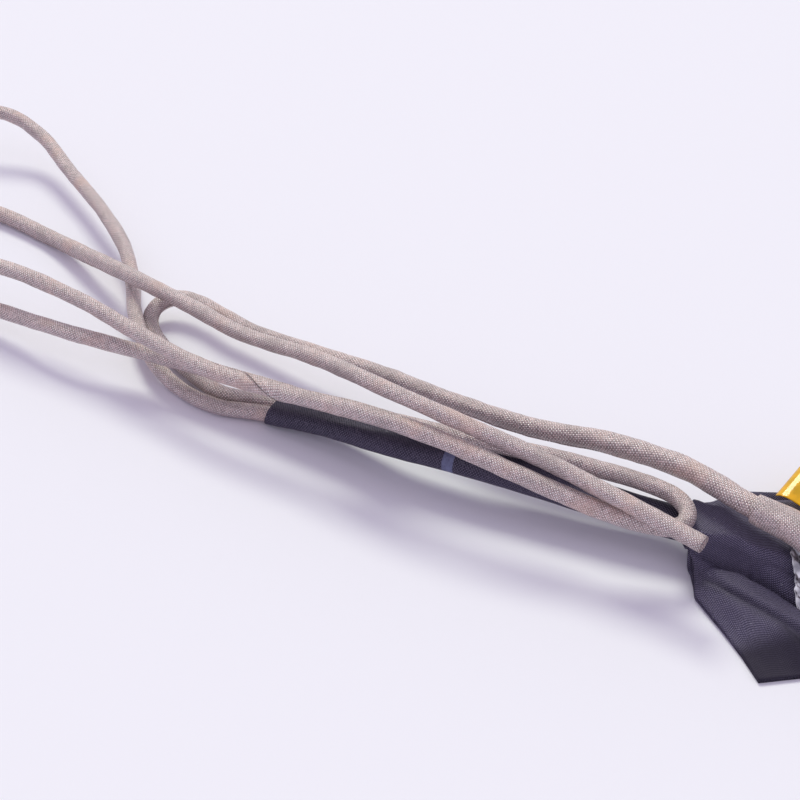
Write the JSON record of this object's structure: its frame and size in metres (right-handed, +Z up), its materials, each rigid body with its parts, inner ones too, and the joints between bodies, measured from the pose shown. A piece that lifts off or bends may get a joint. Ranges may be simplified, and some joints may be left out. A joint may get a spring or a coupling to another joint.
{
  "type": "folded display cable",
  "caption": "Loose hank of cloth-wrapped display cable: two strands in a black sleeve, a folded black tape, amber film and a flat plug on each end.",
  "frame": {"origin": "middle of the footprint's bounding box, on the surface the cable lies on", "axes": "+X along the folded cable, from its loops to its plugs; +Y across it; +Z up"},
  "size_m": [0.1871, 0.0394, 0.0129],
  "materials": {
    "shield_cloth": "fine plain weave of metallised threads, satin with small glints",
    "black_cloth_tape": "matte acetate cloth",
    "foil": "thin crumpled foil",
    "amber_film": "glossy polyimide film",
    "wire_jacket": "smooth extruded jacket",
    "ivory_plastic": "moulded",
    "dark_plastic": "moulded",
    "contact_metal": "gold-flashed",
    "shell_metal": "tin-plated sheet",
    "clear_film": "hazy polyester film"
  },
  "bodies": {
    "root": {"thin_strand": "shield_cloth", "main_strand": "shield_cloth", "black_sleeve": "black_cloth_tape", "cloth_overwrap": "shield_cloth", "wide_tape": "black_cloth_tape", "ground_foil": "foil", "amber_film": "amber_film", "board_wires": "wire_jacket", "board_plug_housing": "ivory_plastic", "board_plug_contacts": "contact_metal", "board_plug_shell": "shell_metal", "display_wires": "wire_jacket", "display_tape": "black_cloth_tape", "display_plug_housing": "dark_plastic", "display_plug_contacts": "contact_metal", "display_plug_shell": "shell_metal", "display_ground_bars": "shell_metal", "display_pull_tab": "clear_film"}
  },
  "joints": []
}
